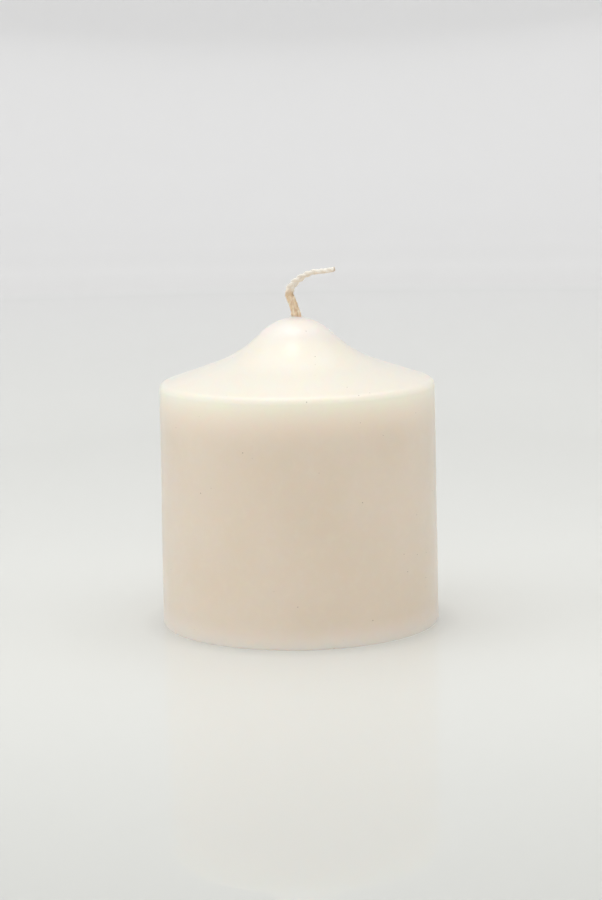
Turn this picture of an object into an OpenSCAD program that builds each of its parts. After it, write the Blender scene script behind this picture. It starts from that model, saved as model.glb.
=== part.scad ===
// Domed pillar candle: a moulded wax body with a pointed crown, a braided wick and its tin tab.
// Millimetres, +Z up. The origin is the centre of the flat base that the candle stands on.

/* [Wax body] */
// Diameter across the widest place, just above the base
base_d = 70; // [60:1:80]
// Height of the wax from the base to the top of the crown
body_h = 77; // [65:1:100]
// Angle by which the side leans in, so that the candle leaves its mould
draft_deg = 0.45; // [0:0.05:1.5]
// Rounding of the base edge
base_edge_r = 0.6; // [0.3:0.1:2]
// Rounding of the shoulder between the side and the crown
shoulder_r = 1.7; // [0.5:0.1:4]

/* [Crown] */
// Slope of the crown's flank beside the shoulder, in degrees
flank_slope = 19; // [15:0.5:22]
// Steepest slope of the crown, where its hollow sweep turns into the rounded peak
peak_slope = 45.3; // [35:0.1:48]
// Radius of the hollow sweep
sweep_r = 32; // [20:1:34]
// Radius of the rounded peak
peak_r = 12.6; // [8:0.1:14]

/* [Wick] */
// Half the side-to-side swing of each strand about the middle of the braid
swing = 0.85; // [0.8:0.01:0.9]
// Half the front-to-back swing of each strand
lift = 0.4; // [0.38:0.01:0.45]
// Radius of one strand
strand_r = 0.27; // [0.2:0.01:0.28]
// Length over which a strand returns to the same place in the braid
plait_pitch = 5.6; // [5.6:0.1:7]
// Angle by which the free end has turned from the braid's broad face to its edge
free_turn = 85; // [0:5:90]
// Radius of the hole that the wick fills
bore_r = 1.35; // [1.3:0.05:1.6]

/* [Wick tab] */
// Diameter of the tab's disc
tab_d = 20; // [15:0.5:30]
// Thickness of the tinned steel sheet
tab_sheet = 0.3; // [0.2:0.05:0.4]
// Height of the crimped neck above the disc
neck_h = 6; // [4:0.5:10]

/* [Hidden] */
$fn = 128;

arc_steps = 12;

// The tab sits in a pocket in the base, a little above the surface that the candle stands on.
tab_z = 0.2;
tab_top = tab_z + tab_sheet;
cone_r = 3.6;
cone_rise = 1.1;
neck_in = 1.3;
neck_out = neck_in + tab_sheet;
neck_top = tab_top + neck_h;
crimp_depth = 0.1;
crimp_half = 0.8;
pocket_gap = 0.2;

// The wick starts inside the tab's neck, runs straight up the axis to straight_top, and then
// follows FREE_ROUTE, whose points are about route_step apart in the plane y = 0. Each gives the
// distance to the right of the axis and the height over the top of the crown.
wick_foot = 0.6;
straight_top = body_h - 3;
route_step = 1.5;
FREE_ROUTE = [
    [0, -4.5], [0, -3], [0.1, -1.5], [0.2, 0], [0, 1.5], [-0.4, 2.9], [-0.9, 4.3],
    [-1.4, 5.7], [-1.2, 7.2], [-0.3, 8.4], [0.8, 9.4], [2.1, 10.3], [3.4, 10.9],
    [4.8, 11.3], [6.4, 11.4], [8, 11.6], [9.6, 11.8], [11.1, 12]
];
straight_len = straight_top - wick_foot;
wick_len = straight_len + route_step * (len(FREE_ROUTE) - 3);
turn_start = straight_len + 8;
rings_per_pitch = 10;
ring_count = ceil(wick_len * rings_per_pitch / plait_pitch);
sides = 8;
nudge = 0.01;

// Points on an arc about centre c, from angle a0 to angle a1.
function arc(c, r, a0, a1) =
    [for (i = [0:arc_steps]) let (a = a0 + (a1 - a0) * i / arc_steps) c + r * [cos(a), sin(a)]];

// Half of the wax body's section, as [radius, height] points.
function crown_line() = arc([0, body_h - peak_r], peak_r, 90 - asin(bore_r / peak_r), 90 - peak_slope);

function sweep_line() =
    let (c = [0, body_h - peak_r] + (peak_r + sweep_r) * [sin(peak_slope), cos(peak_slope)])
    arc(c, sweep_r, 270 - peak_slope, 270 - flank_slope);

// Centre of the shoulder's rounding, which touches both the leaning side and the flank.
function shoulder_centre() =
    let (
        foot = sweep_line()[arc_steps],
        side_r = base_d / 2 - shoulder_r / cos(draft_deg),
        flank_z = foot[1] - shoulder_r / cos(flank_slope),
        z = (flank_z - (side_r - foot[0]) * tan(flank_slope)) / (1 - tan(draft_deg) * tan(flank_slope))
    )
    [side_r - z * tan(draft_deg), z];

function shoulder_line() = arc(shoulder_centre(), shoulder_r, 90 - flank_slope, draft_deg);

function base_edge_line() =
    let (r = base_d / 2 - base_edge_r * (1 / cos(draft_deg) + tan(draft_deg)))
    arc([r, base_edge_r], base_edge_r, draft_deg, -90);

function pocket_line() = [
    [tab_d / 2 + pocket_gap, 0],
    [tab_d / 2 + pocket_gap, tab_top + pocket_gap],
    [cone_r + 2 * pocket_gap, tab_top + pocket_gap],
    [neck_out + pocket_gap, tab_top + cone_rise + 2 * pocket_gap],
    [neck_out + pocket_gap, neck_top + pocket_gap],
    [bore_r, neck_top + pocket_gap]
];

module wax_body() {
    color("ivory")
        rotate_extrude()
            polygon(concat(crown_line(), sweep_line(), shoulder_line(), base_edge_line(), pocket_line()));
}

// A smooth curve through four points, from p1 at t = 0 to p2 at t = 1.
function spline(p0, p1, p2, p3, t) =
    0.5 * (2 * p1 + (p2 - p0) * t + (2 * p0 - 5 * p1 + 4 * p2 - p3) * t * t
        + (3 * p1 - p0 - 3 * p2 + p3) * t * t * t);

// The middle of the wick at a distance s from its foot.
function route(s) =
    let (
        u = (s - straight_len) / route_step,
        i = max(0, min(floor(u), len(FREE_ROUTE) - 4)),
        p = spline(FREE_ROUTE[i], FREE_ROUTE[i + 1], FREE_ROUTE[i + 2], FREE_ROUTE[i + 3], u - i)
    )
    s < straight_len ? [0, 0, wick_foot + s] : [p[0], 0, body_h + p[1]];

function unit(v) = v / norm(v);

// How far the braid has turned about its own length at s.
function turn(s) = free_turn * sin(90 * max(0, min(1, (s - turn_start) / (wick_len - turn_start))));

// The middle of strand k at s. The braid's broad direction is across, its thin direction is through.
function strand_point(s, k) =
    let (
        along = unit(route(s + nudge) - route(s - nudge)),
        level = [along[2], 0, -along[0]],
        across = level * cos(turn(s)) + [0, 1, 0] * sin(turn(s)),
        through = cross(along, across),
        phase = 360 * s / plait_pitch + 120 * k
    )
    route(s) + swing * sin(phase) * across + lift * sin(2 * phase) * through;

// One round of points about strand k at s, square to the strand.
function strand_ring(s, k) =
    let (
        along = unit(strand_point(s + nudge, k) - strand_point(s - nudge, k)),
        first = unit(cross(along, [along[2], 1, -along[0]])),
        second = cross(along, first)
    )
    [for (j = [0:sides - 1])
        strand_point(s, k) + strand_r * (cos(360 * j / sides) * first + sin(360 * j / sides) * second)];

module wick_strand(k) {
    step = (wick_len - 2 * nudge) / ring_count;
    points = [for (i = [0:ring_count]) each strand_ring(nudge + i * step, k)];
    skin = [for (i = [0:ring_count - 1], j = [0:sides - 1])
        let (a = i * sides + j, b = i * sides + (j + 1) % sides)
        each [[a, b, b + sides], [a, b + sides, a + sides]]];
    foot = [for (j = [sides - 1:-1:0]) j];
    tip = [for (j = [0:sides - 1]) ring_count * sides + j];
    color("wheat")
        polyhedron(points, concat(skin, [foot], [tip]));
}

// A disc of thin sheet whose middle rises as a cone into a neck, crimped round the wick.
module wick_sustainer() {
    crimp_z = tab_top + 0.6 * neck_h;
    color("silver")
        rotate_extrude()
            polygon([
                [tab_d / 2, tab_z],
                [tab_d / 2, tab_top],
                [cone_r, tab_top],
                [neck_out, tab_top + cone_rise],
                [neck_out, crimp_z - crimp_half],
                [neck_out - crimp_depth, crimp_z],
                [neck_out, crimp_z + crimp_half],
                [neck_out, neck_top],
                [neck_in, neck_top],
                [neck_in, crimp_z + crimp_half],
                [neck_in - crimp_depth, crimp_z],
                [neck_in, crimp_z - crimp_half],
                [neck_in, tab_top + cone_rise - tab_sheet],
                [cone_r - tab_sheet, tab_z]
            ]);
}

wax_body();
wick_strand(0);  // wick_strand_a
wick_strand(1);  // wick_strand_b
wick_strand(2);  // wick_strand_c
wick_sustainer();
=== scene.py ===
"""Looks for a domed pillar candle: cast ivory wax, a braided cotton wick and a tinned wick tab.

Units are metres. The candle stands on z = 0 with its axis on z, and its front faces -y.
"""
import math
import random

import bpy
import numpy as np
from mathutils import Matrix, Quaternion, Vector, noise


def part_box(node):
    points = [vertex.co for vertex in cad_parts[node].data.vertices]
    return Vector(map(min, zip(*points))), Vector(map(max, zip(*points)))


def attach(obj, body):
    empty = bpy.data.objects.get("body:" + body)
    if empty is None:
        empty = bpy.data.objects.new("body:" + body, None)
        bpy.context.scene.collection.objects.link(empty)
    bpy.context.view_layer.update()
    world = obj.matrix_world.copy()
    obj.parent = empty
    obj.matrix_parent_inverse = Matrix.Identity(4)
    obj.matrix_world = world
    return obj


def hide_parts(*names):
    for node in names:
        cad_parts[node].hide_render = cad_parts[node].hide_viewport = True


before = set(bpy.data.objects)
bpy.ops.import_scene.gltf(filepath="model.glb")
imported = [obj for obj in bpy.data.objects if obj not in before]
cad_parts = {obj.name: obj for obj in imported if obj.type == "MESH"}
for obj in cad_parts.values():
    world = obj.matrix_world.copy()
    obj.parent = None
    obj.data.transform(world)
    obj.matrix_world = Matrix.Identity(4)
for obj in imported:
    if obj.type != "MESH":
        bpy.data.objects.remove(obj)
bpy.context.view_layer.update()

MM = 0.001
BODY = "root"
SEED = 7

# The wax body's outline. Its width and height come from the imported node's box. The angles and
# radii repeat the CAD's, apart from the shoulder's, which is a little larger. The box ends at the
# rim of the CAD's bore, just below the apex of the crown that is closed round the wick here.
wax_low, wax_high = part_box("wax_body")
BORE_RIM_DROP = 0.07 * MM
BASE_R = (wax_high.x - wax_low.x) / 2
CROWN_Z = wax_high.z + BORE_RIM_DROP
DRAFT = math.radians(0.45)
FLANK_SLOPE = math.radians(19)
PEAK_SLOPE = math.radians(45.3)
SWEEP_R = 32 * MM
PEAK_R = 12.6 * MM
SHOULDER_R = 1.9 * MM
BASE_EDGE_R = 0.6 * MM

# Round the wick, the crown is drawn in to the wick's oval section and climbs it a little. That is
# complete out to GRIP_R, and fades over the next GRIP_FADE.
GRIP_R, GRIP_FADE = 1.4 * MM, 2.2 * MM
GRIP_HALF_W, GRIP_HALF_T = 1.28 * MM, 0.9 * MM
GRIP_SHIFT = 0.2 * MM
CLIMB, CLIMB_FADE = 0.35 * MM, 0.8 * MM

# The tab and the pocket that it sits in.
tab_low, tab_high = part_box("wick_sustainer")
TAB_R = (tab_high.x - tab_low.x) / 2
TAB_SHEET = 0.3 * MM
POCKET_GAP = 0.2 * MM
CONE_R = 3.6 * MM
CONE_RISE = 1.1 * MM
NECK_IN = 1.3 * MM

# The wick: a three-strand plait about a route that is straight inside the wax and then free.
# FREE_ROUTE repeats the CAD's route: millimetres to the right of the axis and above the crown.
# The strands are fatter than the CAD's and swing less, so that the braid is dense.
WICK_FOOT = 0.6 * MM
ROUTE_STEP = 1.5 * MM
STRAIGHT_TOP = CROWN_Z - 3 * MM
FREE_ROUTE = [
    (0, -4.5), (0, -3), (0.1, -1.5), (0.2, 0), (0, 1.5), (-0.4, 2.9), (-0.9, 4.3),
    (-1.4, 5.7), (-1.2, 7.2), (-0.3, 8.4), (0.8, 9.4), (2.1, 10.3), (3.4, 10.9),
    (4.8, 11.3), (6.4, 11.4), (8, 11.6), (9.6, 11.8), (11.1, 12),
]
STRAIGHT_LEN = STRAIGHT_TOP - WICK_FOOT
WICK_LEN = STRAIGHT_LEN + ROUTE_STEP * (len(FREE_ROUTE) - 3)
WAX_LINE = STRAIGHT_LEN + 3 * MM
PLAIT_PITCH = 5.6 * MM
SWING = 0.52 * MM
LIFT = 0.2 * MM
FREE_TURN = math.radians(85)
TURN_START = STRAIGHT_LEN + 8 * MM
YARN_UV = "yarn"

# The inner side of the wick's kink, where the yarns are creased and painted shade darkens them.
KINK = (-0.3 * MM, 0, CROWN_Z + 5.9 * MM)

# How far red, green and blue light travel inside the wax, relative to each other.
WAX_SCATTER = (1.0, 0.7, 0.5)
WHITE = (1.0, 1.0, 1.0)


# ---------------------------------------------------------------- mesh helpers

def make_object(name, verts, faces, material, smooth_angle=math.radians(40)):
    """A mesh object, smooth except across edges sharper than smooth_angle."""
    mesh = bpy.data.meshes.new(name)
    mesh.from_pydata([tuple(v) for v in verts], [], faces)
    mesh.update()
    mesh.shade_smooth()
    mesh.set_sharp_from_angle(angle=smooth_angle)
    mesh.materials.append(material)
    obj = bpy.data.objects.new(name, mesh)
    bpy.context.collection.objects.link(obj)
    return obj


def ring_faces(rings, sides, start=0, closed_loop=False):
    """Quads between rings of points, each ring with the same number of sides."""
    faces = []
    for i in range(rings if closed_loop else rings - 1):
        a, b = start + i * sides, start + (i + 1) % rings * sides
        for j in range(sides):
            k = (j + 1) % sides
            faces.append((a + j, a + k, b + k, b + j))
    return faces


def tube_faces(rings, sides, start=0):
    """The skin of a tube with closed ends: quads between its rings, then its two caps."""
    last = start + (rings - 1) * sides
    caps = [tuple(reversed(range(start, start + sides))), tuple(range(last, last + sides))]
    return ring_faces(rings, sides, start) + caps


def angles_round(sides):
    """Evenly spaced angles, once round a circle."""
    return [2 * math.pi * j / sides for j in range(sides)]


def arc(centre, radius, a0, a1, steps):
    """Points on an arc, from angle a0 to angle a1 in radians."""
    angles = [a0 + (a1 - a0) * i / steps for i in range(steps + 1)]
    return [(centre[0] + radius * math.cos(a), centre[1] + radius * math.sin(a)) for a in angles]


def line(p, q, steps):
    """Points from p to q, without the two ends."""
    return [(p[0] + (q[0] - p[0]) * i / steps, p[1] + (q[1] - p[1]) * i / steps)
            for i in range(1, steps)]


def smoothstep(t):
    """Rises from 0 at t = 0 to 1 at t = 1, level at both ends."""
    t = max(0.0, min(1.0, t))
    return t * t * (3 - 2 * t)


# ---------------------------------------------------------------- node helpers

class Nodes:
    """Builds one material's node tree with short calls."""

    def __init__(self, name):
        self.material = bpy.data.materials.new(name)
        self.material.use_nodes = True
        self.tree = self.material.node_tree
        self.tree.nodes.clear()
        self.bsdf = self.add("ShaderNodeBsdfPrincipled")
        self.link(self.bsdf.outputs[0], self.add("ShaderNodeOutputMaterial").inputs["Surface"])

    def add(self, kind, **settings):
        node = self.tree.nodes.new(kind)
        for key, value in settings.items():
            setattr(node, key, value)
        return node

    def link(self, source, target):
        self.tree.links.new(source, target)

    def put(self, socket, value):
        """Links value if it is a socket, or sets it."""
        if isinstance(value, bpy.types.NodeSocket):
            self.link(value, socket)
        else:
            socket.default_value = value

    def set(self, **values):
        """Puts values on the shader's own sockets, each named with _ for a space."""
        for key, value in values.items():
            self.put(self.bsdf.inputs[key.replace("_", " ")], value)

    def math(self, operation, a, b=0.0):
        node = self.add("ShaderNodeMath", operation=operation)
        self.put(node.inputs[0], a)
        self.put(node.inputs[1], b)
        return node.outputs[0]

    def times(self, a, b):
        return self.math("MULTIPLY", a, b)

    def spread(self, value, low, high, out_low=0.0, out_high=1.0):
        """Maps low..high to out_low..out_high, with smooth ends."""
        node = self.add("ShaderNodeMapRange", interpolation_type="SMOOTHSTEP")
        for socket, number in zip(node.inputs, (value, low, high, out_low, out_high)):
            self.put(socket, number)
        return node.outputs[0]

    def noise(self, vector, scale, detail):
        node = self.add("ShaderNodeTexNoise")
        self.link(vector, node.inputs["Vector"])
        node.inputs["Scale"].default_value = scale
        node.inputs["Detail"].default_value = detail
        return node.outputs["Fac"]

    def mix(self, factor, a, b, blend="MIX"):
        node = self.add("ShaderNodeMix", data_type="RGBA", blend_type=blend)
        self.put(node.inputs["Factor"], factor)
        self.put(node.inputs["A"], a)
        self.put(node.inputs["B"], b)
        return node.outputs["Result"]

    def position(self):
        return self.add("ShaderNodeTexCoord").outputs["Object"]

    def split(self, vector):
        """The x, y and z of a vector."""
        node = self.add("ShaderNodeSeparateXYZ")
        self.link(vector, node.inputs[0])
        return tuple(node.outputs)

    def stretched(self, vector, scale):
        node = self.add("ShaderNodeMapping")
        self.link(vector, node.inputs["Vector"])
        node.inputs["Scale"].default_value = scale
        return node.outputs[0]

    def distance(self, vector, point):
        node = self.add("ShaderNodeVectorMath", operation="DISTANCE")
        self.link(vector, node.inputs[0])
        node.inputs[1].default_value = point
        return node.outputs["Value"]

    def bump(self, height, distance, normal=None):
        node = self.add("ShaderNodeBump")
        self.put(node.inputs["Height"], height)
        node.inputs["Distance"].default_value = distance
        if normal is not None:
            self.link(normal, node.inputs["Normal"])
        return node.outputs["Normal"]


def rgb(red, green, blue):
    return (red, green, blue, 1.0)


# ---------------------------------------------------------------- materials

def wax_by_height(n, base, height):
    """Painted light by height: warm below the shoulder and pale on the crown, for light inside the
    wax.

    The peak has a painted highlight, and the foot is paler with painted bounce light from the floor.
    """
    warm = n.spread(height, 49 * MM, 63 * MM)
    pale = n.spread(height, 45 * MM, 64 * MM)
    crown = n.spread(height, 58.8 * MM, 61 * MM)
    # A painted highlight that makes the peak whiter.
    peak = n.spread(height, 70 * MM, 74 * MM)
    # Painted bounce light from the floor, which makes the foot paler.
    foot = n.spread(height, 0.0, 7 * MM, 0.75, 0.0)
    base = n.mix(warm, base, rgb(0.97, 0.775, 0.62))
    base = n.mix(n.times(pale, pale), base, rgb(1.0, 0.955, 0.845))
    base = n.mix(crown, base, rgb(0.95, 0.86, 0.75))
    base = n.mix(peak, base, rgb(0.935, 0.87, 0.80))
    return n.mix(foot, base, rgb(0.93, 0.825, 0.76))


def wax_specks(n, where):
    """1 in the small middle of some of the cells that fill the wax, and 0 elsewhere."""
    cells = n.add("ShaderNodeTexVoronoi", feature="F1")
    n.link(where, cells.inputs["Vector"])
    cells.inputs["Scale"].default_value = 380
    chance = n.add("ShaderNodeSeparateColor")
    n.link(cells.outputs["Color"], chance.inputs[0])
    near = n.spread(cells.outputs["Distance"], 0.035, 0.06, 1.0, 0.0)
    return n.times(near, n.math("GREATER_THAN", chance.outputs[0], 0.55))


def wax_material():
    """Translucent ivory wax: cloudy colour, soft satin skin, fine casting texture, a few specks."""
    n = Nodes("ivory_wax")
    where = n.position()
    height = n.split(where)[2]
    cloud = n.spread(n.noise(where, 45, detail=4), 0.35, 0.68)
    grain = n.spread(n.noise(where, 420, detail=3), 0.45, 0.8, 0.0, 0.15)
    base = n.mix(cloud, rgb(0.81, 0.71, 0.595), rgb(0.79, 0.685, 0.56))
    base = n.mix(grain, base, rgb(0.87, 0.78, 0.68))
    # Painted light by height: glow under the shoulder, a highlight on the peak, bounce light on the
    # foot.
    base = wax_by_height(n, base, height)
    base = n.mix(n.times(wax_specks(n, where), 0.85), base, rgb(0.28, 0.2, 0.13))
    rough = n.spread(n.noise(where, 160, detail=4), 0.3, 0.75, 0.34, 0.46)
    normal = n.bump(n.noise(where, 260, detail=2), 0.025 * MM)
    normal = n.bump(n.noise(where, 950, detail=3), 0.02 * MM, normal)
    n.set(Base_Color=base, Roughness=rough, Normal=normal)
    n.set(Subsurface_Weight=1.0, Subsurface_Radius=WAX_SCATTER, Subsurface_Scale=4.2 * MM)
    n.set(IOR=1.5, Coat_Weight=0.5, Coat_Roughness=0.16)
    return n.material


def soaked_wax_material():
    """Clearer, tan wax filling the foot of the wick, with a ring of painted shade above the crown."""
    n = Nodes("wick_wax")
    where = n.position()
    streak = n.noise(n.stretched(where, (1.0, 1.0, 0.35)), 1500, detail=3)
    over = n.math("SUBTRACT", n.split(where)[2], CROWN_Z)
    tan = n.mix(n.spread(streak, 0.35, 0.65), rgb(0.72, 0.52, 0.33), rgb(0.92, 0.78, 0.59))
    # Painted shade in a ring where the wick's wax has its groove, 0.1 to 0.9 mm above the crown.
    groove_shade_below = n.spread(over, 0.1 * MM, 0.5 * MM)
    groove_shade_above = n.spread(over, 0.5 * MM, 0.9 * MM, 1.0, 0.0)
    ring = n.times(n.times(groove_shade_below, groove_shade_above), 0.3)
    n.set(Base_Color=n.mix(ring, tan, rgb(0.50, 0.33, 0.18)), Roughness=0.3)
    n.set(Normal=n.bump(n.noise(where, 2500, detail=2), 0.03 * MM))
    n.set(Subsurface_Weight=0.3, Subsurface_Radius=WAX_SCATTER, Subsurface_Scale=0.8 * MM)
    return n.material


def kink_shade(n, where):
    """Painted shade on the yarns round the wick's kink: its distance counts in x and z only."""
    x, _, z = n.split(where)
    flat = n.add("ShaderNodeCombineXYZ")
    n.link(x, flat.inputs[0])
    n.link(z, flat.inputs[2])
    return n.spread(n.distance(flat.outputs[0], KINK), 0.2 * MM, 0.8 * MM, 0.7, 0.0)


def cotton_material():
    """Cotton yarn: twisted fibres, tan where wax has soaked in, cream above.

    Painted shade darkens the grooves of the twist, the yarns' undersides, the kink and the cut ends.
    """
    n = Nodes("wick_cotton")
    where = n.position()
    around, along, _ = n.split(n.add("ShaderNodeUVMap", uv_map=YARN_UV).outputs[0])
    twist = n.math("ADD", n.times(around, 3.0), n.times(along, 1.6))
    ridge = n.math("ABSOLUTE", n.math("SINE", n.times(twist, math.pi)))
    fibre = n.noise(where, 5000, detail=3)
    blotch = n.noise(where, 900, detail=3)
    cream = n.mix(fibre, rgb(0.985, 0.925, 0.82), rgb(1.0, 0.97, 0.9))
    # Painted shade in the grooves of the twist.
    cream = n.mix(n.spread(ridge, 0.0, 0.5, 0.15, 0.0), cream, rgb(0.85, 0.72, 0.54))
    # Painted shade on yarn surfaces that face down.
    facing = n.split(n.add("ShaderNodeNewGeometry").outputs["Normal"])[2]
    cream = n.mix(n.spread(facing, -0.8, 0.1, 0.5, 0.0), cream, rgb(0.80, 0.62, 0.42))
    tan = n.mix(blotch, rgb(0.79, 0.57, 0.35), rgb(0.93, 0.76, 0.54))
    above_wax = n.math("ADD", along, n.times(blotch, 1.6))
    colour = n.mix(n.spread(above_wax, 6.5, 9.0), tan, cream)
    # Painted shade round the kink.
    colour = n.mix(kink_shade(n, where), colour, rgb(0.42, 0.26, 0.13))
    cut = (WICK_LEN - WAX_LINE) / MM
    # Painted shade on the cut ends.
    colour = n.mix(n.spread(along, cut - 0.1, cut + 0.1, 0.0, 0.6), colour, rgb(0.45, 0.29, 0.15))
    height = n.math("ADD", ridge, n.times(fibre, 0.8))
    n.set(Base_Color=colour, Normal=n.bump(height, 0.02 * MM))
    n.set(Roughness=n.spread(above_wax, 6.0, 8.0, 0.42, 0.85), Sheen_Weight=0.2)
    return n.material


def tin_material():
    """Tinned steel sheet with rolling marks and dull patches."""
    n = Nodes("tinned_steel")
    where = n.position()
    marks = n.noise(n.stretched(where, (1.0, 14.0, 1.0)), 420, detail=4)
    dull = n.noise(where, 260, detail=3)
    n.set(Base_Color=n.mix(dull, rgb(0.70, 0.70, 0.68), rgb(0.82, 0.82, 0.80)), Metallic=1.0)
    n.set(Roughness=n.spread(dull, 0.3, 0.7, 0.24, 0.42), Normal=n.bump(marks, 0.01 * MM))
    return n.material


def floor_material():
    """Pale, smooth acrylic that mirrors faintly, with painted shade in front of the candle.

    The painted shade also darkens it out to about 0.4 m from the candle, with painted light
    beyond that, and it is pale again farther in front, where it is the background of the views
    from behind. Round the candle's base it has a painted soft contact shadow, and a thin glow that
    stands in for the light that the wax passes down to it.
    """
    n = Nodes("pale_acrylic")
    where = n.position()
    away = n.distance(where, (0.0, 0.0, 0.0))
    depth = n.split(where)[1]
    tone = n.mix(n.spread(away, 0.3, 1.2), rgb(0.80, 0.81, 0.775), rgb(0.79, 0.79, 0.79))
    # Painted shade out to 0.42 m and painted light beyond; painted shade in front, pale again far in
    # front.
    shade = n.times(n.spread(away, 0.02, 0.42, 1.0, 0.9), n.spread(away, 0.45, 1.3, 1.0, 1.11))
    shade = n.times(shade, n.spread(depth, -0.34, -0.03, 0.78, 1.0))
    shade = n.times(shade, n.spread(depth, -0.8, -0.4, 1.28, 1.0))
    # A painted soft contact shadow round the base.
    contact = n.spread(away, 35.5 * MM, 42 * MM, 0.94, 1.0)
    n.set(Base_Color=n.mix(1.0, tone, n.times(shade, contact), "MULTIPLY"))
    # Painted light: a thin glow round the base.
    glow_inside = n.spread(away, 33 * MM, 34 * MM)
    glow_outside = n.spread(away, 34.6 * MM, 35 * MM, 1.0, 0.0)
    glow = n.times(n.times(glow_inside, glow_outside), 0.26)
    n.set(Emission_Strength=glow, Emission_Color=rgb(*WHITE), Roughness=0.01, IOR=1.25)
    return n.material


# ---------------------------------------------------------------- wax body

def wax_outline():
    """Outer half-section from beside the axis down to the base edge, as (radius, height)."""
    axis_gap = 0.2 * MM
    crown = arc((0, CROWN_Z - PEAK_R), PEAK_R, math.radians(90) - math.asin(axis_gap / PEAK_R),
                math.radians(90) - PEAK_SLOPE, 40)
    reach = PEAK_R + SWEEP_R
    centre = (reach * math.sin(PEAK_SLOPE), CROWN_Z - PEAK_R + reach * math.cos(PEAK_SLOPE))
    sweep = arc(centre, SWEEP_R, math.radians(270) - PEAK_SLOPE, math.radians(270) - FLANK_SLOPE, 22)
    side_r = BASE_R - SHOULDER_R / math.cos(DRAFT)
    flank_z = sweep[-1][1] - SHOULDER_R / math.cos(FLANK_SLOPE)
    z = flank_z - (side_r - sweep[-1][0]) * math.tan(FLANK_SLOPE)
    z /= 1 - math.tan(DRAFT) * math.tan(FLANK_SLOPE)
    centre = (side_r - z * math.tan(DRAFT), z)
    shoulder = arc(centre, SHOULDER_R, math.radians(90) - FLANK_SLOPE, DRAFT, 12)
    edge_r = BASE_R - BASE_EDGE_R * (1 / math.cos(DRAFT) + math.tan(DRAFT))
    edge = arc((edge_r, BASE_EDGE_R), BASE_EDGE_R, DRAFT, math.radians(-90), 8)
    return (crown + sweep[1:] + line(sweep[-1], shoulder[0], 16) + shoulder
            + line(shoulder[-1], edge[0], 60) + edge)


def pocket_outline():
    """The underside: flat base, the pocket for the tab, and up to the wick's hole."""
    top = TAB_SHEET + 2 * POCKET_GAP
    neck = NECK_IN + TAB_SHEET + POCKET_GAP
    neck_top = tab_high.z + POCKET_GAP
    rim = TAB_R + POCKET_GAP
    rim_start = (rim + 0.3 * MM, 0)
    cone_foot = (CONE_R + 2 * POCKET_GAP, top)
    cone_top = (neck, top + CONE_RISE + POCKET_GAP)
    points = line((BASE_R - BASE_EDGE_R, 0), rim_start, 14)
    points += [rim_start, (rim + 0.08 * MM, 0.03 * MM), (rim, 0.12 * MM), (rim, top)]
    points += line((rim, top), cone_foot, 5) + [cone_foot, cone_top]
    return points + line(cone_top, (neck, neck_top), 5) + [(neck, neck_top)]


def hole_outline():
    """The wick's hole, from just above the tab up to where the wax grips the wick."""
    hole_r = 1.25 * MM
    foot, top = tab_high.z + 1 * MM, 0.85 * CROWN_Z
    return line((hole_r, foot), (hole_r, top), 12) + [(hole_r, top)]


def surface_lift(x, y, z):
    """Casting unevenness of the wax, as a distance along the surface normal."""
    p = Vector((x, y, z)) / MM
    broad = noise.noise(p * 0.055 + Vector((3.1, 8.7, 1.9)))
    middle = noise.noise(p * 0.16 + Vector((11.3, 2.4, 7.7)))
    fine = noise.noise(p * 0.6 + Vector((5.2, 9.1, 4.4)))
    return (0.09 * broad + 0.03 * middle + 0.006 * fine) * MM


def build_wax(material):
    """One closed skin: the uneven outside, oval round the wick, then underside, pocket and hole."""
    sides = 288
    level_z = 2 * MM
    outer = wax_outline()
    angles = angles_round(sides)
    verts = []
    for k, (r, z) in enumerate(outer):
        before = outer[max(k - 1, 0)]
        after = outer[min(k + 1, len(outer) - 1)]
        tangent = (after[0] - before[0], after[1] - before[1])
        length = math.hypot(*tangent)
        normal = (-tangent[1] / length, tangent[0] / length)
        near_wick = 1 - smoothstep((r - GRIP_R) / GRIP_FADE)
        climb = CLIMB * math.exp(-max(r - GRIP_R, 0.0) / CLIMB_FADE)
        for a in angles:
            c, s = math.cos(a), math.sin(a)
            lift = surface_lift(r * c, r * s, z) * (1 - near_wick)
            if z < level_z:
                lift *= z / level_z
            rr = r - normal[0] * lift
            x = rr * c * (1 - near_wick * (1 - GRIP_HALF_W / GRIP_R)) + GRIP_SHIFT * near_wick
            y = rr * s * (1 - near_wick * (1 - GRIP_HALF_T / GRIP_R))
            verts.append((x, y, z - normal[1] * lift + climb))
    for r, z in pocket_outline() + hole_outline():
        verts += [(r * math.cos(a), r * math.sin(a), z) for a in angles]
    faces = [tuple(reversed(f)) for f in tube_faces(len(verts) // sides, sides)]
    return make_object("wax_body_cast", verts, faces, material)


# ---------------------------------------------------------------- wick

def route(s):
    """The middle of the wick at a distance s from its foot."""
    if s < STRAIGHT_LEN:
        return Vector((0, 0, WICK_FOOT + s))
    u = (s - STRAIGHT_LEN) / ROUTE_STEP
    i = max(0, min(int(u), len(FREE_ROUTE) - 4))
    p0, p1, p2, p3 = (np.array(p, float) for p in FREE_ROUTE[i:i + 4])
    t = u - i
    x, z = 0.5 * (2 * p1 + (p2 - p0) * t + (2 * p0 - 5 * p1 + 4 * p2 - p3) * t * t
                  + (3 * p1 - p0 - 3 * p2 + p3) * t ** 3)
    return Vector((x * MM, 0, CROWN_Z + z * MM))


def braid_frame(s):
    """Position, and the braid's long, broad and thin directions, at s."""
    step = 0.01 * MM
    along = (route(s + step) - route(s - step)).normalized()
    level = Vector((along.z, 0, -along.x))
    part = max(0.0, min(1.0, (s - TURN_START) / (WICK_LEN - TURN_START)))
    angle = FREE_TURN * math.sin(math.pi / 2 * part)
    across = level * math.cos(angle) + Vector((0, 1, 0)) * math.sin(angle)
    return route(s), along, across, along.cross(across)


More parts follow.
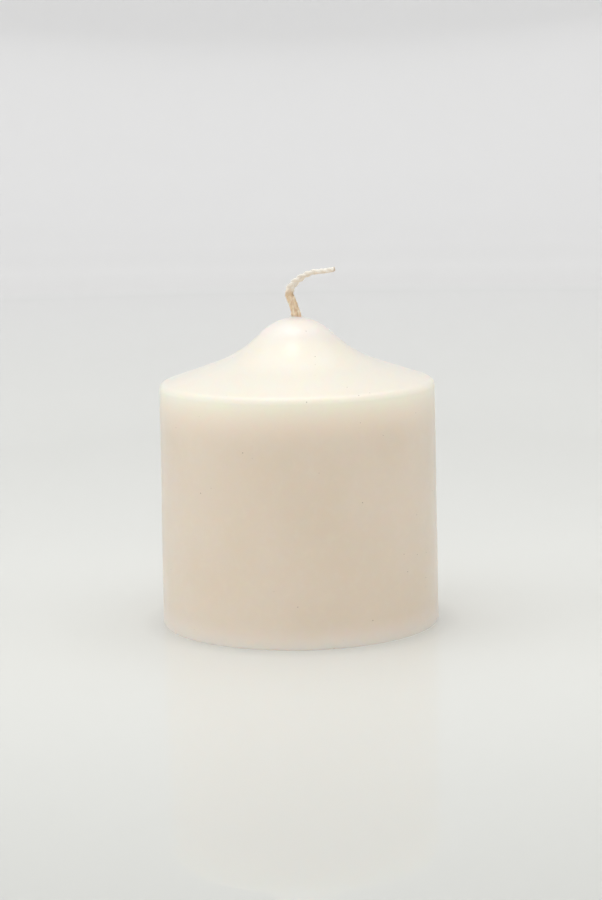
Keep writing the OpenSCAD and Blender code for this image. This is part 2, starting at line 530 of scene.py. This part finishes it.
def strand_middle(s, k):
    """The middle of strand k of the plait at s."""
    middle, _, across, through = braid_frame(s)
    phase = 2 * math.pi * (s / PLAIT_PITCH + k / 3)
    return middle + SWING * math.sin(phase) * across + LIFT * math.sin(2 * phase) * through


def wick_stations():
    """Distances along the wick: sparse inside the wax, dense where it shows and past its end."""
    sparse_step, dense_step = 0.45 * MM, 0.16 * MM
    dense_start, dense_end = WAX_LINE - 2 * MM, WICK_LEN + 0.4 * MM
    stations = list(np.arange(0, dense_start, sparse_step))
    return stations + list(np.arange(dense_start, dense_end, dense_step))


def yarn_layout():
    """A strand's yarns: how far out each lies, from 0 to 1, and at what angle round the middle."""
    inner_share, outer_count = 0.4, 10
    inner = [(inner_share, 0.0), (inner_share, math.pi)]
    return inner + [(1.0, a) for a in angles_round(outer_count)]


def build_strand(name, k, material, rng):
    """One bundle of the braid: its yarns, their cut ends and some loose fibres."""
    sides, fibre_count = 8, 26
    yarn_r, half_w, half_t = 0.14 * MM, 0.48 * MM, 0.3 * MM
    twist_pitch, fray_len = 9 * MM, 1.2 * MM
    unevenness, spread_wave, girth_wave = 0.08, 0.9 * MM, 0.37 * MM
    step = 0.02 * MM
    frames = []
    for s in wick_stations():
        along = (strand_middle(s + step, k) - strand_middle(s - step, k)).normalized()
        _, _, across, _ = braid_frame(s)
        side = (across - along * across.dot(along)).normalized()
        frames.append((s, strand_middle(s, k), along, side, along.cross(side)))
    verts, faces, uvs = [], [], []
    for out, angle in yarn_layout():
        wobble = rng.uniform(0, 2 * math.pi)
        trim = rng.uniform(-0.35, 0.0) * MM
        splay = rng.uniform(-0.1, 0.15)
        start = len(verts)
        rows = [f for f in frames if f[0] <= WICK_LEN - trim]
        for s, middle, _, side, up in rows:
            turn = 2 * math.pi * s / twist_pitch
            end = smoothstep((s - WICK_LEN + fray_len) / fray_len)
            loose = 1 + splay * end + unevenness * math.sin(s / spread_wave + wobble)
            px = out * loose * half_w * math.cos(angle + turn)
            py = out * loose * half_t * math.sin(angle + turn)
            r = yarn_r * (1 + unevenness * math.sin(s / girth_wave + wobble))
            centre = middle + side * px + up * py
            for j, a in enumerate(angles_round(sides)):
                verts.append(centre + side * (r * math.cos(a)) + up * (r * math.sin(a)))
                uvs.append((j / sides, (s - WAX_LINE) / MM))
        faces += tube_faces(len(rows), sides, start)
    for _ in range(fibre_count):
        add_fibre(verts, faces, uvs, frames, rng)
    obj = make_object(name, verts, faces, material, math.radians(60))
    write_yarn_uv(obj, uvs)
    return obj


def add_fibre(verts, faces, uvs, frames, rng):
    """A loose cotton fibre that starts inside the strand and curls out of it."""
    rows, sides = 6, 4
    root_out, root_r, thinning = 0.2 * MM, 0.011 * MM, 0.6
    free = [f for f in frames if f[0] > WAX_LINE + 5.5 * MM]
    s, middle, along, side, up = rng.choice(free)
    a = rng.uniform(0, 2 * math.pi)
    outward = side * math.cos(a) + up * math.sin(a)
    lean = along * rng.uniform(-0.6, 0.9)
    curl = side * rng.uniform(-0.5, 0.5) + up * rng.uniform(-0.5, 0.5)
    length = rng.uniform(0.25, 0.6) * MM
    start = len(verts)
    for i in range(rows):
        t = i / (rows - 1)
        centre = middle + outward * (root_out + length * t) + (lean * t + curl * t * t) * length
        r = root_r * (1 - thinning * t)
        for j, b in enumerate(angles_round(sides)):
            verts.append(centre + along * (r * math.cos(b)) + outward.cross(along) * (r * math.sin(b)))
            uvs.append((j / sides, (s - WAX_LINE) / MM))
    faces += tube_faces(rows, sides, start)


def write_yarn_uv(obj, uvs):
    """The yarns' UV map: u goes once round a yarn, v is millimetres above the wax line."""
    layer = obj.data.uv_layers.new(name=YARN_UV)
    for polygon in obj.data.polygons:
        loops = list(polygon.loop_indices)
        us = [uvs[obj.data.loops[i].vertex_index][0] for i in loops]
        wraps = max(us) - min(us) > 0.5 and len(loops) == 4
        for i, u in zip(loops, us):
            v = uvs[obj.data.loops[i].vertex_index][1]
            layer.data[i].uv = (u + 1 if wraps and u < 0.5 else u, v)


def wick_wax_size(over):
    """Half the width and half the thickness of the soaked wax, at a distance over the wax line.

    All three are in millimetres. The wax is widest where it leaves the crown, and above that it
    has a slight groove and then a bead.
    """
    fillet = 0.4 * math.exp(-max(over, 0.0) / 0.5)
    bead = 0.12 * math.exp(-((over - 1.0) / 0.35) ** 2)
    groove = 0.05 * math.exp(-((over - 0.55) / 0.15) ** 2)
    extra = bead + fillet - groove
    return 1.08 + extra, 0.62 + extra


def build_wick_wax(material):
    """Wax that fills the plait from inside the crown to the kink, where it tapers away."""
    sides, rows = 40, 70
    start_s, end_s = WAX_LINE - 1.5 * MM, WAX_LINE + 6.4 * MM
    taper_start, tip_share = 0.8, 0.03
    lump, lump_rate = 0.1, 1.7
    verts = []
    for i in range(rows):
        t = i / (rows - 1)
        s = start_s + (end_s - start_s) * t
        middle, _, across, through = braid_frame(s)
        fade = smoothstep((t - taper_start) / (1 - taper_start))
        taper = math.sqrt(max(0.0, 1 - fade ** 2)) * (1 - tip_share) + tip_share
        half_w, half_t = wick_wax_size((s - WAX_LINE) / MM)
        for a in angles_round(sides):
            p = (middle + across * (half_w * MM * taper * math.cos(a))
                 + through * (half_t * MM * taper * math.sin(a)))
            verts.append(p + (p - middle) * (lump * noise.noise(p / MM * lump_rate)))
    return make_object("wick_wax_fill", verts, tube_faces(rows, sides), material)


# ---------------------------------------------------------------- wick tab

def tab_outline():
    """Closed half-section of the sheet, with a stiffening bead and a rolled rim."""
    z0, z1 = tab_low.z, tab_low.z + TAB_SHEET
    rim_r = TAB_SHEET / 2
    rim = arc((TAB_R - rim_r, z0 + rim_r), rim_r, math.radians(-90), math.radians(90), 8)
    bead_r, bead_h, bead_w = 7.4 * MM, 0.1 * MM, 0.8 * MM

    def bead(r):
        return bead_h * math.exp(-((r - bead_r) / (bead_w / 2)) ** 2)

    radii = np.linspace(TAB_R - rim_r, CONE_R + 0.6 * MM, 26)[1:]
    upper = [(r, z1 + bead(r)) for r in radii]
    lower = [(r, z0 + bead(r)) for r in reversed(radii)]
    neck_out = NECK_IN + TAB_SHEET
    cone_top = z1 + CONE_RISE
    edge = 0.1 * MM
    lip_z = tab_high.z - edge
    outside = [(CONE_R, z1 + 0.05 * MM), (CONE_R - 0.6 * MM, z1 + 0.3 * MM),
               (neck_out + 0.45 * MM, cone_top - 0.35 * MM), (neck_out + 0.1 * MM, cone_top),
               (neck_out, cone_top + 0.4 * MM)]
    outside += line((neck_out, cone_top + 0.4 * MM), (neck_out, lip_z), 22)
    lip = [(neck_out, lip_z), (neck_out - edge, tab_high.z),
           (NECK_IN + edge, tab_high.z), (NECK_IN, lip_z)]
    inside = line((NECK_IN, lip_z), (NECK_IN, cone_top - 0.1 * MM), 22)
    inside += [(NECK_IN, cone_top - 0.1 * MM), (NECK_IN + 0.2 * MM, cone_top - 0.4 * MM),
               (CONE_R - 0.9 * MM, z0 + 0.3 * MM), (CONE_R - 0.3 * MM, z0 + 0.05 * MM)]
    return rim + upper + outside + lip + inside + lower


def build_tab(material):
    """The tab, with its neck squeezed on four sides round the wick."""
    sides = 128
    neck_limit = 2.2 * MM
    crimp_z, crimp_half, crimp_depth = tab_low.z + 4.0 * MM, 1.1 * MM, 0.13 * MM
    outline = tab_outline()
    verts = []
    for r, z in outline:
        press = crimp_depth * math.exp(-((z - crimp_z) / crimp_half) ** 4) if r < neck_limit else 0.0
        for a in angles_round(sides):
            rr = r - press * max(0.0, math.cos(4 * a)) ** 2
            verts.append((rr * math.cos(a), rr * math.sin(a), z))
    faces = ring_faces(len(outline), sides, closed_loop=True)
    return make_object("wick_tab_pressed", verts, faces, material, math.radians(50))


# ---------------------------------------------------------------- stage, lights, camera

def build_stage(material):
    """A round, seamless sweep, so that every view has the same plain surroundings."""
    sides = 96
    flat_r, bend_r, top = 0.9, 0.9, 1.8
    outline = [(r, 0.0) for r in (0.02, 0.2, 0.5, flat_r)]
    outline += arc((flat_r, bend_r), bend_r, math.radians(-90), 0, 24)[1:]
    outline += [(flat_r + bend_r, top)]
    verts = [(0, 0, 0)]
    for r, z in outline:
        verts += [(r * math.cos(a), r * math.sin(a), z) for a in angles_round(sides)]
    faces = [tuple(reversed(f)) for f in ring_faces(len(outline), sides, start=1)]
    faces += [(0, 1 + j, 1 + (j + 1) % sides) for j in range(sides)]
    make_object("studio_sweep", verts, faces, material)


def add_softbox(name, position, target, width, depth, power, colour=WHITE):
    """A rectangular area light that the camera itself doesn't see."""
    data = bpy.data.lights.new(name, "AREA")
    data.shape = "RECTANGLE"
    data.size, data.size_y = width, depth
    data.energy = power
    data.color = colour
    obj = bpy.data.objects.new(name, data)
    obj.location = position
    obj.rotation_euler = (Vector(target) - Vector(position)).to_track_quat("-Z", "Y").to_euler()
    obj.visible_camera = False
    bpy.context.collection.objects.link(obj)
    return obj


def light_the_scene():
    """White surroundings, two softboxes overhead, and a fill on each side that nothing mirrors."""
    world = bpy.data.worlds.new("studio_air")
    world.use_nodes = True
    background = world.node_tree.nodes["Background"]
    background.inputs["Color"].default_value = rgb(*WHITE)
    background.inputs["Strength"].default_value = 0.78
    bpy.context.scene.world = world
    add_softbox("overhead_softbox", (0, 0.1, 1.6), (0, 0, 0), 2.0, 2.0, 7.6)
    add_softbox("small_softbox", (-0.09, 0.15, 1.27), (0, 0, 0.07), 0.26, 0.26, 0.8)
    candle_middle = (0, 0, 0.04)
    soft_warm = (1.0, 0.92, 0.85)
    fills = [
        add_softbox("left_fill", (-1.2, -0.2, 0.5), candle_middle, 0.9, 0.7, 3.0),
        add_softbox("right_fill", (1.1, -0.2, 0.9), candle_middle, 0.9, 0.7, 1.4, soft_warm),
        add_softbox("front_fill", (0, -1.3, 0.5), candle_middle, 1.0, 0.6, 2.05),
        add_softbox("back_fill", (0, 1.3, 0.5), candle_middle, 1.0, 0.6, 0.6),
    ]
    for fill in fills:
        fill.visible_glossy = False


def place_camera():
    """A 96 mm lens, 0.6 m in front and looking 9 degrees down, rolled by about a degree."""
    data = bpy.data.cameras.new("camera")
    data.lens = 96
    data.sensor_width = 36
    data.clip_start, data.clip_end = 0.01, 20
    camera = bpy.data.objects.new("camera", data)
    camera.location = (0, -0.5976, 0.1384)
    pitch, yaw, roll = math.radians(9.03), math.radians(0.07), math.radians(-1.08)
    look = Vector((math.sin(yaw) * math.cos(pitch), math.cos(yaw) * math.cos(pitch), -math.sin(pitch)))
    camera.rotation_mode = "QUATERNION"
    upright = look.to_track_quat("-Z", "Y")
    camera.rotation_quaternion = upright @ Quaternion((0, 0, 1), roll)
    bpy.context.collection.objects.link(camera)
    bpy.context.scene.camera = camera
    bpy.context.scene.view_settings.view_transform = "Standard"


# ---------------------------------------------------------------- assembly

def main():
    rng = random.Random(SEED)
    wax, cotton = wax_material(), cotton_material()
    body = build_wax(wax)
    fill = build_wick_wax(soaked_wax_material())
    tab = build_tab(tin_material())
    for piece, slot in ((body, "wax"), (fill, "wax"), (tab, "tab_steel")):
        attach(piece, BODY)
    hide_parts("wax_body")
    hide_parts("wick_sustainer")
    for k, letter in enumerate("abc"):
        strand = build_strand("wick_yarns_" + letter, k, cotton, rng)
        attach(strand, BODY)
        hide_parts("wick_strand_" + letter)
    build_stage(floor_material())
    light_the_scene()
    place_camera()


main()
